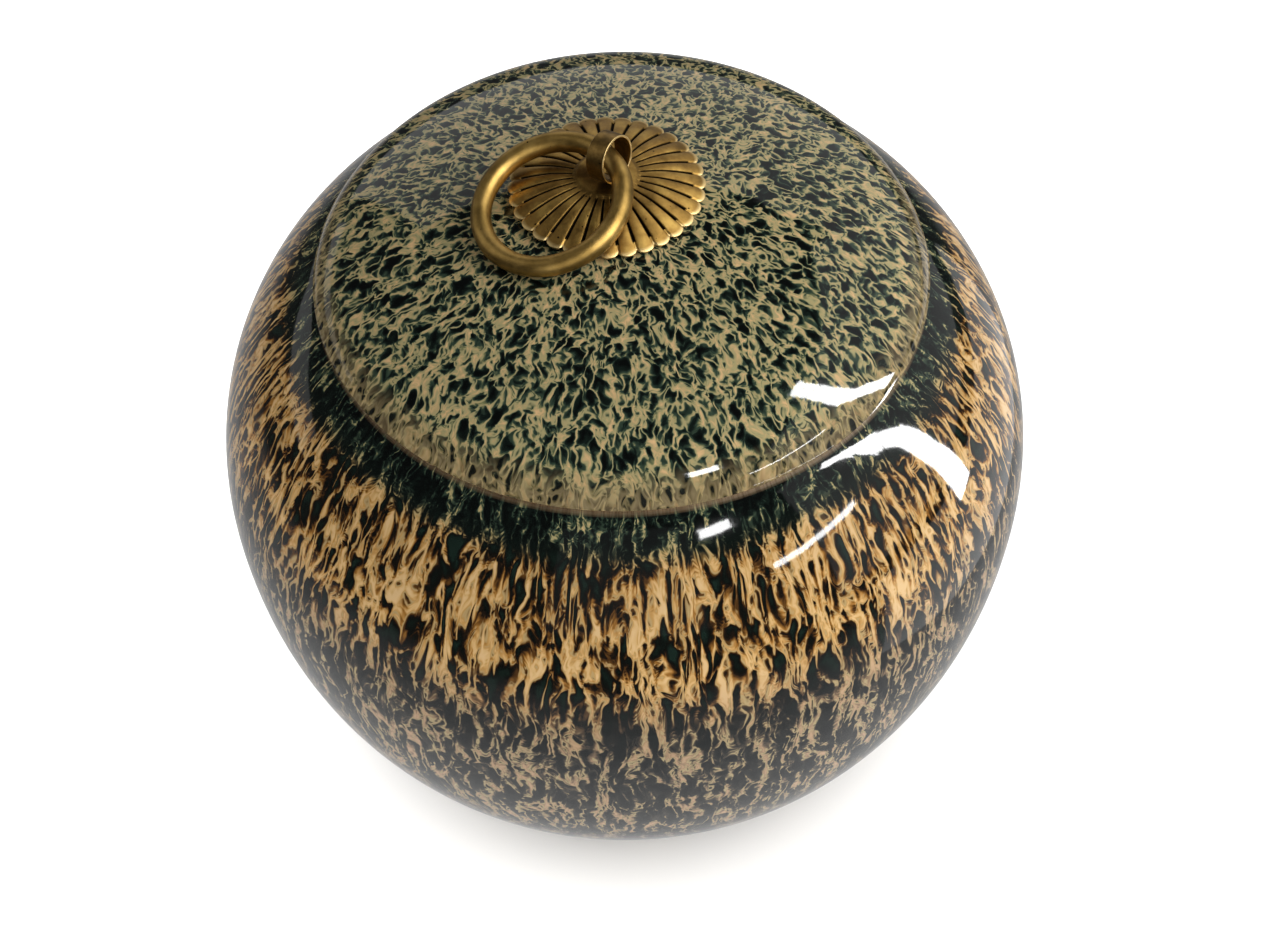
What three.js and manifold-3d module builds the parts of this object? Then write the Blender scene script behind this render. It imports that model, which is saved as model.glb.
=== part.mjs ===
// A round glazed stoneware funeral urn with a domed lid and a brass ring handle.
// Millimetres, +Z up, origin on the ground under the middle of the foot.
// The ring turns about an axis along X and lies towards -Y.

import * as THREE from 'three';
import { mergeVertices } from 'three/addons/utils/BufferGeometryUtils.js';
import Module from 'manifold-3d';

// Driving dimensions of the body
const bodyRadius = 104;
const bellyHeight = 88;          // height of the widest place above the ground
const bellyDepth = 110.2;        // half height of the curve below the widest place
const bellyFullness = 2.12;      // power of that curve: 2 is an ellipse, more is squarer
const shoulderRise = 87.4;       // half height of the curve above the widest place
const shoulderFullness = 2.12;
const bodyWall = 6;
const floorThickness = 7;
const footHeight = 5;
const footInset = 2;             // how far the foot stands in from the belly's curve
const footRingWidth = 8;
const footRecess = 3;            // depth of the hollow under the foot
const shoulderEdge = 70.86;      // radius at which the shoulder ends in the flat land for the lid
const landWidth = 8.86;          // from the mouth to the shoulder's edge
const mouthThickening = 6;       // extra thickness of the wall under the land

// Driving dimensions of the lid
const lidOverhang = 1.35;        // how far the lid reaches past the shoulder's edge
const lidRise = 23.1;            // height of the dome above the lid's rim
const lidShoulder = 1.83;        // powers of the dome's curve, along the radius and the height
const lidCrown = 1.59;
const lidWall = 6;
const lidLip = 1;                // rounding under the lid's edge
const ceilingSpread = 7.2;       // the curve under the dome would run this far past the flange
const flangeDepth = 8;
const flangeThickness = 4.5;
const flangeClearance = 1.5;     // between the flange and the mouth
const pinHoleRadius = 3.2;

// Driving dimensions of the handle
const handleX = -3.05;           // the plate lies a little off the middle of the lid
const handleY = -1.45;
const pinOffset = 2.65;          // the eye's pin stands off the middle of the plate, along X
const hingeX = 0.85;             // the middle of the wire in the eye, from the middle of the plate
const hingeY = 0.25;
const petalCount = 32;
const rosetteRadius = 22.4;
const rosetteRise = 4;           // top of the boss above the lid's top
const rosetteDrop = 4.15;        // height of the boss above the rim of the plate
const rosetteBoss = 7;           // radius of the plain boss in the middle
const plateThickness = 0.8;
const petalNotch = 0.9;          // depth of the scallops round the edge
const grooveDepth = 0.5;
const stripThickness = 0.6;
const eyeWidth = 4.6;
const eyeRadius = 5.55;          // outside of the loop
const eyeTurn = 20;              // degrees, about Z, away from the ring's axis
const eyeTilt = 10;              // degrees that the loop is bent over to one side above the plate
const legLength = 11;
const legDroop = 1.1;
const ringRadius = 16.35;        // middle of the wire
const wireRadius = 2.4;
const ringFall = 17.3;           // degrees below level, where the ring lies on the lid
const wireDrop = 1.15;           // the wire lies below the middle of the loop
const slotClearance = 0.4;
const seatGap = 0.3;             // left between pieces that lie on each other

// Numbers of flat faces
const turnSides = 52;
const stepsPerPetal = 4;
const ringSteps = 36;
const wireSides = 8;

const glaze = new THREE.MeshStandardMaterial({ color: '#5f4f38', roughness: 0.15, metalness: 0 });
const lidGlaze = new THREE.MeshStandardMaterial({ color: '#4a4334', roughness: 0.15, metalness: 0 });
const stampedBrass = new THREE.MeshStandardMaterial({ color: '#7d6432', roughness: 0.4, metalness: 1 });
const stripBrass = new THREE.MeshStandardMaterial({ color: '#8d7138', roughness: 0.38, metalness: 1 });
const castBrass = new THREE.MeshStandardMaterial({ color: '#92703a', roughness: 0.35, metalness: 1 });

const wasm = await Module();
wasm.setup();

const radians = THREE.MathUtils.degToRad;

// Height of a quarter of a superellipse at a distance from the axis.
function curveHeight(distance, radius, rise, radialPower, heightPower) {
  return rise * (1 - (distance / radius) ** radialPower) ** (1 / heightPower);
}

// Distance from the axis of the same curve at a height.
function curveRadius(height, radius, rise, radialPower, heightPower) {
  return radius * (1 - (height / rise) ** heightPower) ** (1 / radialPower);
}

// Points of that curve from one height to another, spaced evenly by angle.
function curvePoints(radius, rise, radialPower, heightPower, fromHeight, toHeight, steps) {
  const angleAt = (height) => Math.asin((Math.abs(height) / rise) ** (heightPower / 2));
  const start = angleAt(fromHeight) * Math.sign(fromHeight);
  const end = angleAt(toHeight) * Math.sign(toHeight);
  const points = [];
  for (let i = 0; i <= steps; i++) {
    const angle = start + ((end - start) * i) / steps;
    const reach = radius * Math.abs(Math.cos(angle)) ** (2 / radialPower);
    const height = rise * Math.abs(Math.sin(angle)) ** (2 / heightPower) * Math.sign(angle);
    points.push([reach, height]);
  }
  return points;
}

const raised = (points, height) => points.map(([reach, z]) => [reach, z + height]);

function turned(profile, sides) {
  const outline = profile.map(([reach, height]) => new THREE.Vector2(reach, height));
  return new THREE.LatheGeometry(outline, sides).rotateX(Math.PI / 2);
}

function toSolid(geometry) {
  const bare = geometry.clone();
  bare.deleteAttribute('normal');
  bare.deleteAttribute('uv');
  const merged = mergeVertices(bare, 1e-4);
  const vertProperties = new Float32Array(merged.attributes.position.array);
  const triVerts = new Uint32Array(merged.index.array);
  return new wasm.Manifold(new wasm.Mesh({ numProp: 3, vertProperties, triVerts }));
}

function toGeometry(solid) {
  const mesh = solid.getMesh();
  const geometry = new THREE.BufferGeometry();
  geometry.setAttribute('position', new THREE.BufferAttribute(mesh.vertProperties, 3));
  geometry.setIndex(new THREE.BufferAttribute(mesh.triVerts, 1));
  geometry.computeVertexNormals();
  return geometry;
}

function named(name, geometry, material) {
  const mesh = new THREE.Mesh(geometry, material);
  mesh.name = name;
  return mesh;
}

const seatRise = curveHeight(shoulderEdge, bodyRadius, shoulderRise, shoulderFullness, shoulderFullness);
const seatHeight = bellyHeight + seatRise;
const mouthRadius = shoulderEdge - landWidth;

// The body: one closed profile, from the middle of the underside out and up to the mouth and back inside.
function bodyProfile() {
  const belly = (steps, from) =>
    curvePoints(bodyRadius, bellyDepth, bellyFullness, bellyFullness, from, 0, steps);
  const footTop = footHeight - bellyHeight;
  const footRadius = curveRadius(-footTop, bodyRadius, bellyDepth, bellyFullness, bellyFullness) - footInset;
  const recessRadius = footRadius - footRingWidth;

  const innerRadius = bodyRadius - bodyWall;
  const innerDepth = bellyDepth - bodyWall;
  const innerRise = shoulderRise - bodyWall - mouthThickening;
  const floor = footRecess + floorThickness - bellyHeight;
  const mouthInside = curveHeight(mouthRadius, innerRadius, innerRise, shoulderFullness, shoulderFullness);

  const outside = [
    ...belly(9, footTop),
    ...curvePoints(bodyRadius, shoulderRise, shoulderFullness, shoulderFullness, 0, seatRise, 8).slice(1),
  ];
  const inside = [
    ...curvePoints(innerRadius, innerRise, shoulderFullness, shoulderFullness, mouthInside, 0, 5),
    ...curvePoints(innerRadius, innerDepth, bellyFullness, bellyFullness, 0, floor, 5).slice(1),
  ];
  return [
    [0, footRecess],
    [recessRadius, footRecess],
    [recessRadius, 0],
    [footRadius - 1, 0],
    [footRadius, 1],
    [footRadius, footHeight - 1],
    ...raised(outside, bellyHeight),
    [mouthRadius, seatHeight],
    ...raised(inside, bellyHeight),
    [0, footRecess + floorThickness],
  ];
}

// The lid: a dome with a flat rim that lies on the land, and a flange that drops into the mouth.
const lidSeat = seatHeight + seatGap;
const lidTop = lidSeat + lidRise;
const lidRadius = shoulderEdge + lidOverhang;
const flangeRadius = mouthRadius - flangeClearance;

function lidProfile() {
  const flangeInside = flangeRadius - flangeThickness;
  const innerRadius = flangeInside + ceilingSpread;
  const innerRise = lidRise - lidWall;
  const flangeTop = curveHeight(flangeInside, innerRadius, innerRise, lidShoulder, lidCrown);
  const dome = curvePoints(lidRadius, lidRise, lidShoulder, lidCrown, 2 * lidLip, lidRise, 10);
  const ceiling = curvePoints(innerRadius, innerRise, lidShoulder, lidCrown, flangeTop, innerRise, 5);
  return [
    [0, lidTop - lidWall],
    ...raised(ceiling, lidSeat).reverse().slice(1),
    [flangeInside, lidSeat - flangeDepth],
    [flangeRadius - 1, lidSeat - flangeDepth],
    [flangeRadius, lidSeat - flangeDepth + 1],
    [flangeRadius, lidSeat],
    [lidRadius - lidLip, lidSeat],
    [lidRadius, lidSeat + lidLip],
    ...raised(dome, lidSeat).slice(0, -1),
    [0, lidTop],
  ];
}

function lid() {
  const pinHole = new THREE.CylinderGeometry(pinHoleRadius, pinHoleRadius, 4 * lidWall, 20);
  pinHole.rotateX(Math.PI / 2);
  pinHole.translate(handleX + pinOffset, handleY, lidTop);
  return toGeometry(toSolid(turned(lidProfile(), turnSides)).subtract(toSolid(pinHole)));
}

// The rosette: a thin stamped plate. Its profile is turned, and then each groove between two petals is
// pressed down and each petal's end is rounded.
const bossTop = lidTop + rosetteRise;

function rosetteHeight(distance) {
  const share = distance / rosetteRadius;
  return bossTop - rosetteDrop * share ** 2.4;
}

function rosette() {
  const petalStart = rosetteBoss * 1.2;
  const rings = [petalStart, 0.55 * rosetteRadius, 0.75 * rosetteRadius, 0.9 * rosetteRadius, rosetteRadius];
  const top = rings.map((reach) => [reach, rosetteHeight(reach)]);
  const valley = [rosetteBoss, rosetteHeight(rosetteBoss) - grooveDepth];
  const under = [rosetteRadius, rosetteBoss].map((reach) => [reach, rosetteHeight(reach) - plateThickness]);
  under[1][1] -= grooveDepth;
  const profile = [
    [0, bossTop - plateThickness],
    ...under.reverse(),
    ...top.reverse(),
    valley,
    [0.6 * rosetteBoss, rosetteHeight(0.6 * rosetteBoss)],
    [0, bossTop],
  ];
  const sides = petalCount * stepsPerPetal;
  const plate = turned(profile, sides);
  const place = plate.attributes.position;
  for (let i = 0; i < place.count; i++) {
    const point = new THREE.Vector3().fromBufferAttribute(place, i);
    const reach = Math.hypot(point.x, point.y);
    if (reach < petalStart - 0.01) continue;
    const turn = (Math.atan2(point.y, point.x) / (2 * Math.PI)) * petalCount;
    const fromCrest = 2 * Math.abs(turn - Math.round(turn));
    const scallop = 1 - (petalNotch * fromCrest ** 2 * (reach / rosetteRadius) ** 6) / rosetteRadius;
    const isTop = point.z > rosetteHeight(reach) - 0.5 * plateThickness;
    const groove = isTop && reach < rosetteRadius - 0.01 ? grooveDepth * Math.max(0, 2 * fromCrest - 1) : 0;
    place.setXYZ(i, point.x * scallop, point.y * scallop, point.z - groove);
  }
  const slotLength = eyeWidth + 2 * slotClearance;
  const slotWidth = 2 * (stripThickness + slotClearance);
  const slot = new THREE.BoxGeometry(slotLength, slotWidth, 4 * plateThickness);
  slot.rotateZ(radians(eyeTurn));
  slot.translate(pinOffset, 0, bossTop);
  return toGeometry(toSolid(plate).subtract(toSolid(slot)));
}

// The eye: a strip folded into a loop, its two ends side by side through the lid and bent apart beneath.
// Above the plate the loop is bent over sideways about its neck, which lies on the plate by its lower edge.
const tilt = radians(eyeTilt);
const neckHeight = bossTop + seatGap + (eyeWidth / 2) * Math.sin(tilt);
const ringHeight = neckHeight + eyeRadius * Math.cos(tilt) - wireDrop;

function eye() {
  const stem = stripThickness;
  const legTop = lidTop - lidWall - seatGap - neckHeight - eyeRadius;
  const meet = Math.asin(stem / eyeRadius);
  const outline = new THREE.Shape();
  outline.moveTo(-stem, legTop);
  outline.lineTo(-legLength, legTop - legDroop);
  outline.lineTo(-legLength, legTop - legDroop - stripThickness);
  outline.lineTo(-stem, legTop - stripThickness);
  outline.lineTo(stem, legTop - stripThickness);
  outline.lineTo(legLength, legTop - legDroop - stripThickness);
  outline.lineTo(legLength, legTop - legDroop);
  outline.lineTo(stem, legTop);
  outline.absarc(0, 0, eyeRadius, meet - Math.PI / 2, 1.5 * Math.PI - meet, false);
  outline.closePath();
  const loop = new THREE.Path();
  loop.absarc(0, 0, eyeRadius - stripThickness, 0, 2 * Math.PI, true);
  outline.holes.push(loop);
  const strip = new THREE.ExtrudeGeometry(outline, { depth: eyeWidth, bevelEnabled: false, curveSegments: 12 });
  strip.translate(0, 0, -eyeWidth / 2);
  const across = new THREE.Vector3(0, 1, 0);
  const up = new THREE.Vector3(0, 0, 1);
  const along = new THREE.Vector3(1, 0, 0);
  strip.applyMatrix4(new THREE.Matrix4().makeBasis(across, up, along));
  strip.translate(0, 0, eyeRadius);
  const place = strip.attributes.position;
  for (let i = 0; i < place.count; i++) {
    const point = new THREE.Vector3().fromBufferAttribute(place, i);
    if (point.z < -0.5 * stem) continue;
    point.applyAxisAngle(across, -tilt);
    place.setXYZ(i, point.x, point.y, point.z);
  }
  strip.computeVertexNormals();
  return strip;
}

const urn = new THREE.Group();
urn.add(named('urn_body', turned(bodyProfile(), turnSides), glaze));
urn.add(named('lid', lid(), lidGlaze));

const handle = new THREE.Group();
handle.position.set(handleX, handleY, 0);
handle.add(named('handle_rosette', rosette(), stampedBrass));

const eyeMesh = named('handle_eye', eye(), stripBrass);
eyeMesh.position.set(pinOffset, 0, neckHeight);
eyeMesh.rotation.z = radians(eyeTurn);
handle.add(eyeMesh);

const hinge = new THREE.Group();
hinge.position.set(hingeX, hingeY, ringHeight);
hinge.rotation.x = radians(ringFall);
const ring = named('handle_ring', new THREE.TorusGeometry(ringRadius, wireRadius, wireSides, ringSteps), castBrass);
ring.position.y = -ringRadius;
hinge.add(ring);
handle.add(hinge);
urn.add(handle);

export default urn;
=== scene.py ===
# Glazed stoneware funeral urn with a brass ring handle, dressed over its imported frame.
from math import atan2, cos, pi, radians, sin, sqrt, tan

import bpy
import numpy as np
from mathutils import Matrix, Vector


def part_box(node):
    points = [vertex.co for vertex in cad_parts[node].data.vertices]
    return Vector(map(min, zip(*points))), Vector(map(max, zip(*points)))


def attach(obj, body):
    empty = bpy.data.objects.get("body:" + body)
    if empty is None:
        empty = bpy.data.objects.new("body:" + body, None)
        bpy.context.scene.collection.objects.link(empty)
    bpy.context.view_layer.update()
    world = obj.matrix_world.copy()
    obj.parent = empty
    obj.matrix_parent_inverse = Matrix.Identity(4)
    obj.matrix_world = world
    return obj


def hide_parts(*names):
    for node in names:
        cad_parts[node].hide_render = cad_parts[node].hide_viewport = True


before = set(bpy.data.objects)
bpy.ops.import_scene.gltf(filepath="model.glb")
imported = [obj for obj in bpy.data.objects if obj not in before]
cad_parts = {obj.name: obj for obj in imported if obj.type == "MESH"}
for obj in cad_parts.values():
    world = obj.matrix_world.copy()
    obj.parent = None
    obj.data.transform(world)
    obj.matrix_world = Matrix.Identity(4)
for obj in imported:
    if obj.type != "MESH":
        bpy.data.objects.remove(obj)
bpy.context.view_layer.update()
mm = 0.001
mergeDistance = 0.002 * mm
cornerSteps = 4                      # steps of a small rounded corner

print("frame loaded")


# small helpers

def toLinear(hexColour):
    # an sRGB hex value as the linear colour that the shader wants
    channels = [int(hexColour[i:i + 2], 16) / 255 for i in (1, 3, 5)]
    linear = [c / 12.92 if c <= 0.04045 else ((c + 0.055) / 1.055) ** 2.4 for c in channels]
    return (*linear, 1.0)


def addNode(tree, kind, settings=None, links=None):
    # settings are the node's own properties, its ramp's stops or the values of its sockets,
    # and links are its inputs
    node = tree.nodes.new("ShaderNode" + kind)
    for key, value in (settings or {}).items():
        if key == "stops":
            elements = node.color_ramp.elements
            for i, (position, colour) in enumerate(value):
                stop = elements[i] if i < 2 else elements.new(position)
                stop.position = position
                stop.color = toLinear(colour) if isinstance(colour, str) else (colour, colour, colour, 1.0)
        elif isinstance(key, str) and hasattr(node, key):
            setattr(node, key, value)
        else:
            node.inputs[key].default_value = value
    for key, source in (links or {}).items():
        tree.links.new(source, node.inputs[key])
    return node


def deselectAll():
    if bpy.context.object and bpy.context.object.mode != "OBJECT":
        bpy.ops.object.mode_set(mode="OBJECT")
    bpy.ops.object.select_all(action="DESELECT")


def smoothStep(low, high, value):
    share = min(1, max(0, (value - low) / (high - low)))
    return share * share * (3 - 2 * share)


def arcPoints(centreX, centreZ, radius, fromAngle, toAngle, steps):
    # points of a round corner of a profile, angles in degrees
    angles = [radians(fromAngle + (toAngle - fromAngle) * i / steps) for i in range(steps + 1)]
    return [(centreX + radius * cos(a), centreZ + radius * sin(a)) for a in angles]


def curvePoints(radius, rise, radialPower, heightPower, fromHeight, toHeight, steps):
    # the same superellipse as the solids', with finer steps
    def angleAt(height):
        turn = np.arcsin((abs(height) / rise) ** (heightPower / 2))
        return turn if height > 0 else -turn
    start, end = angleAt(fromHeight), angleAt(toHeight)
    points = []
    for i in range(steps + 1):
        angle = start + (end - start) * i / steps
        side = 1 if angle > 0 else -1
        reach = radius * abs(cos(angle)) ** (2 / radialPower)
        points.append((reach, side * rise * abs(sin(angle)) ** (2 / heightPower)))
    return points


def curveHeight(distance, radius, rise, radialPower, heightPower):
    return rise * (1 - (distance / radius) ** radialPower) ** (1 / heightPower)


def startChain(name, points):
    # a plane is merged into one vertex, which is drawn out through the points and stays in edit mode
    deselectAll()
    bpy.ops.mesh.primitive_plane_add(size=1 * mm, location=(0, 0, 0))
    piece = bpy.context.object
    piece.name = name
    bpy.ops.object.mode_set(mode="EDIT")
    bpy.ops.mesh.select_all(action="SELECT")
    bpy.ops.mesh.merge(type="CENTER")
    bpy.ops.transform.translate(value=points[0])
    for start, end in zip(points, points[1:]):
        step = tuple(b - a for a, b in zip(start, end))
        bpy.ops.mesh.extrude_vertices_move(TRANSFORM_OT_translate={"value": step})
    bpy.ops.mesh.select_all(action="SELECT")
    return piece


def closeMesh(distance):
    # doubles are merged and faces turned outwards, and edit mode ends
    bpy.ops.mesh.select_all(action="SELECT")
    bpy.ops.mesh.remove_doubles(threshold=distance)
    bpy.ops.mesh.normals_make_consistent(inside=False)
    bpy.ops.object.mode_set(mode="OBJECT")


def turnProfile(name, profile, steps):
    # the profile is spun about the axis, as on a wheel
    piece = startChain(name, [(reach, 0, height) for reach, height in profile])
    bpy.ops.mesh.spin(steps=steps, angle=2 * pi, center=(0, 0, 0), axis=(0, 0, 1))
    closeMesh(mergeDistance)
    bpy.ops.object.shade_smooth_by_angle(angle=radians(50))
    return piece


def thickenSheet(piece, thickness, offset, easeWidth, easeSteps):
    # a sheet gets its thickness and its eased edges
    sheet = piece.modifiers.new("sheet", "SOLIDIFY")
    sheet.thickness = thickness
    sheet.offset = offset
    bpy.ops.object.modifier_apply(modifier=sheet.name)
    ease = piece.modifiers.new("ease", "BEVEL")
    ease.width = easeWidth
    ease.segments = easeSteps
    ease.limit_method = "ANGLE"
    ease.angle_limit = radians(60)
    bpy.ops.object.modifier_apply(modifier=ease.name)


def cutWith(piece, cutter):
    deselectAll()
    bpy.context.view_layer.objects.active = piece
    cut = piece.modifiers.new("cut", "BOOLEAN")
    cut.operation = "DIFFERENCE"
    cut.solver = "EXACT"
    cut.object = cutter
    bpy.ops.object.modifier_apply(modifier=cut.name)
    bpy.data.objects.remove(cutter)


def setAttribute(piece, name, kind, values):
    attribute = piece.data.attributes.new(name, kind, "POINT")
    field = "vector" if kind == "FLOAT_VECTOR" else "value"
    attribute.data.foreach_set(field, np.asarray(values, dtype=np.float32).ravel())


def setZones(piece, way, zones):
    # what changes down the piece, by the way along its profile in mm
    for name, stops in zones.items():
        places, values = zip(*stops)
        setAttribute(piece, name, "FLOAT", np.interp(way, places, values))


def followProfile(piece, profile):
    # the nearest point of the profile to each vertex, with the vertex's reach and turn round the axis
    line = np.array(profile)
    place = np.array([v.co for v in piece.data.vertices])
    reach = np.hypot(place[:, 0], place[:, 1])
    turn = np.arctan2(place[:, 1], place[:, 0])
    nearest = np.empty(len(place), dtype=int)
    batch = 4096
    for i in range(0, len(place), batch):
        aside = reach[i:i + batch, None] - line[:, 0]
        above = place[i:i + batch, 2, None] - line[:, 1]
        nearest[i:i + batch] = (aside ** 2 + above ** 2).argmin(axis=1)
    lengths = np.concatenate([[0], np.cumsum(np.hypot(*np.diff(line, axis=0).T))])
    return reach, turn, nearest, lengths


# urn body, thrown stoneware

urnBody = {
    "widestRadius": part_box("urn_body")[1].x,
    "bellyHeight": 88 * mm,          # height of the widest place
    "bellyDepth": 110.2 * mm,        # the lower curve's full depth, which the foot cuts short
    "shoulderRise": 87.4 * mm,
    "fullness": 2.12,                # power of the curves: 2 gives an ellipse
    "shoulderEdge": 70.86 * mm,
    "landWidth": 8.86 * mm,
    "wall": 6 * mm,
    "mouthThickening": 6 * mm,
    "floorThickness": 7 * mm,
    "footHeight": 5 * mm,
    "footInset": 2 * mm,
    "footRingWidth": 8 * mm,
    "footRecess": 3 * mm,
    "edgeRounding": 0.9 * mm,
    "bellySteps": 44,
    "shoulderSteps": 40,
    "insideSteps": 20,
    "turnSteps": 224,
    # how far the pattern is drawn out, by the way down from the rim in mm
    "glazeRan": ((0, 0.95), (6, 0.85), (16, 0.5), (42, 0.48), (60, 0.66), (200, 0.72)),
    "sampleStep": 0.1,
    # how wide the tan strands are, how brown the drops and how grey the glaze, the same way down
    "zones": {
        "strandWidth": ((0, 0.0), (7, 0.0), (13, 0.045), (36, 0.045), (48, 0.03), (58, 0.026), (200, 0.03)),
        "warmth": ((0, 0.0), (6, 0.1), (12, 1.0), (200, 1.0)),
        "greyness": ((0, 0.0), (38, 0.0), (54, 0.85), (64, 1.0), (200, 1.0)),
    },
}


def makeUrnBody(d):
    power = d["fullness"]
    seatRise = curveHeight(d["shoulderEdge"], d["widestRadius"], d["shoulderRise"], power, power)
    seat = d["bellyHeight"] + seatRise
    mouth = d["shoulderEdge"] - d["landWidth"]
    footTop = d["footHeight"] - d["bellyHeight"]
    footCurve = d["widestRadius"] * (1 - (-footTop / d["bellyDepth"]) ** power) ** (1 / power)
    footOutside = footCurve - d["footInset"]
    footInside = footOutside - d["footRingWidth"]
    innerRadius = d["widestRadius"] - d["wall"]
    innerRise = d["shoulderRise"] - d["wall"] - d["mouthThickening"]
    innerDepth = d["bellyDepth"] - d["wall"]
    floorHeight = d["footRecess"] + d["floorThickness"]
    rounding = d["edgeRounding"]

    def lifted(points):
        return [(reach, z + d["bellyHeight"]) for reach, z in points]

    footLine = [
        (0, d["footRecess"]),
        (footInside - rounding, d["footRecess"]),
        (footInside, d["footRecess"] - rounding),
        *arcPoints(footInside + rounding, rounding, rounding, 180, 270, cornerSteps),
        *arcPoints(footOutside - rounding, rounding, rounding, 270, 360, cornerSteps),
        (footOutside, d["footHeight"] - rounding),
    ]
    belly = lifted(curvePoints(d["widestRadius"], d["bellyDepth"], power, power, footTop, 0, d["bellySteps"]))
    shoulder = lifted(curvePoints(d["widestRadius"], d["shoulderRise"], power, power, 0, seatRise,
                                  d["shoulderSteps"]))
    # the sharp edge of the shoulder is softened, because thick glaze never holds an edge
    softEdge = [
        (d["shoulderEdge"] - 0.35 * rounding, seat - 0.05 * rounding),
        (d["shoulderEdge"] - 1.2 * rounding, seat),
    ]
    mouthEdge = arcPoints(mouth + rounding, seat - rounding, rounding, 90, 180, cornerSteps)
    insideTop = curveHeight(mouth, innerRadius, innerRise, power, power)
    insideBottom = floorHeight - d["bellyHeight"]
    inside = lifted(
        curvePoints(innerRadius, innerRise, power, power, insideTop, 0, d["insideSteps"])
        + curvePoints(innerRadius, innerDepth, power, power, 0, insideBottom, d["insideSteps"])[1:]
    )
    outline = footLine + belly + shoulder[1:-1] + softEdge + mouthEdge + inside + [(0, floorHeight)]
    piece = turnProfile("urnBodyGlazed", outline, d["turnSteps"])

    rim = len(footLine) + len(belly) + len(shoulder) - 3
    insideStart = rim + len(softEdge) + len(mouthEdge)
    reach, turn, nearest, lengths = followProfile(piece, outline)
    fall = (lengths[rim] - lengths[nearest]) / mm
    # the glaze ran down the outside: its pattern keeps its width round the belly, and is drawn out
    # downwards where it ran most
    ranPlaces, ranRates = zip(*d["glazeRan"])
    samples = np.arange(0, ranPlaces[-1], d["sampleStep"])
    rates = np.interp(samples, ranPlaces, ranRates)
    along = np.interp(fall, samples, np.concatenate([[0], np.cumsum(rates[:-1]) * d["sampleStep"]]))
    wide = d["widestRadius"] / mm
    flow = np.stack([wide * np.cos(turn), wide * np.sin(turn), -along], axis=1)
    run = np.stack([0 * along, 0 * along, -np.interp(fall, samples, rates)], axis=1)
    setAttribute(piece, "glazeFlow", "FLOAT_VECTOR", flow)
    setAttribute(piece, "glazeRun", "FLOAT_VECTOR", run)
    setZones(piece, fall, d["zones"])
    wiped = (nearest <= len(footLine) - 2) | ((nearest > rim) & (nearest < insideStart))
    setAttribute(piece, "bareClay", "FLOAT", wiped.astype(float))
    setAttribute(piece, "plainGlaze", "FLOAT", (nearest >= insideStart).astype(float))
    return piece


# lid, thrown stoneware with a flange

lid = {
    "overhang": 1.35 * mm,
    "rise": 23.1 * mm,
    "shoulderPower": 1.83,
    "crownPower": 1.59,
    "wall": 6 * mm,
    "lip": 1 * mm,
    "ceilingSpread": 7.2 * mm,
    "flangeDepth": 8 * mm,
    "flangeThickness": 4.5 * mm,
    "flangeClearance": 1.5 * mm,
    "flangeCorner": 0.2 * mm,
    "gap": 0.3 * mm,
    "pinHoleRadius": 3.2 * mm,
    "pinHoleDepth": 30 * mm,         # through the whole dome
    "domeSteps": 72,
    "ceilingSteps": 24,
    "lipSteps": 6,
    "turnSteps": 224,
    "spreadPower": 0.86,             # under 1, so the pattern is a little longer down the slope
    # by the way up from the edge in mm, thinEdge being where the glaze stayed thin
    "zones": {
        "strandWidth": ((0, 0.0), (2, 0.0), (8, 0.004), (90, 0.0)),
        "warmth": ((0, 0.5), (3, 0.3), (9, 0.0), (90, 0.0)),
        "thinEdge": ((-9, 0.0), (-1, 0.75), (3, 0.6), (9, 0.0)),
    },
}
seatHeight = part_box("urn_body")[1].z
lidSeat = seatHeight + lid["gap"]
lidTop = lidSeat + lid["rise"]
lidRadius = urnBody["shoulderEdge"] + lid["overhang"]


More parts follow.
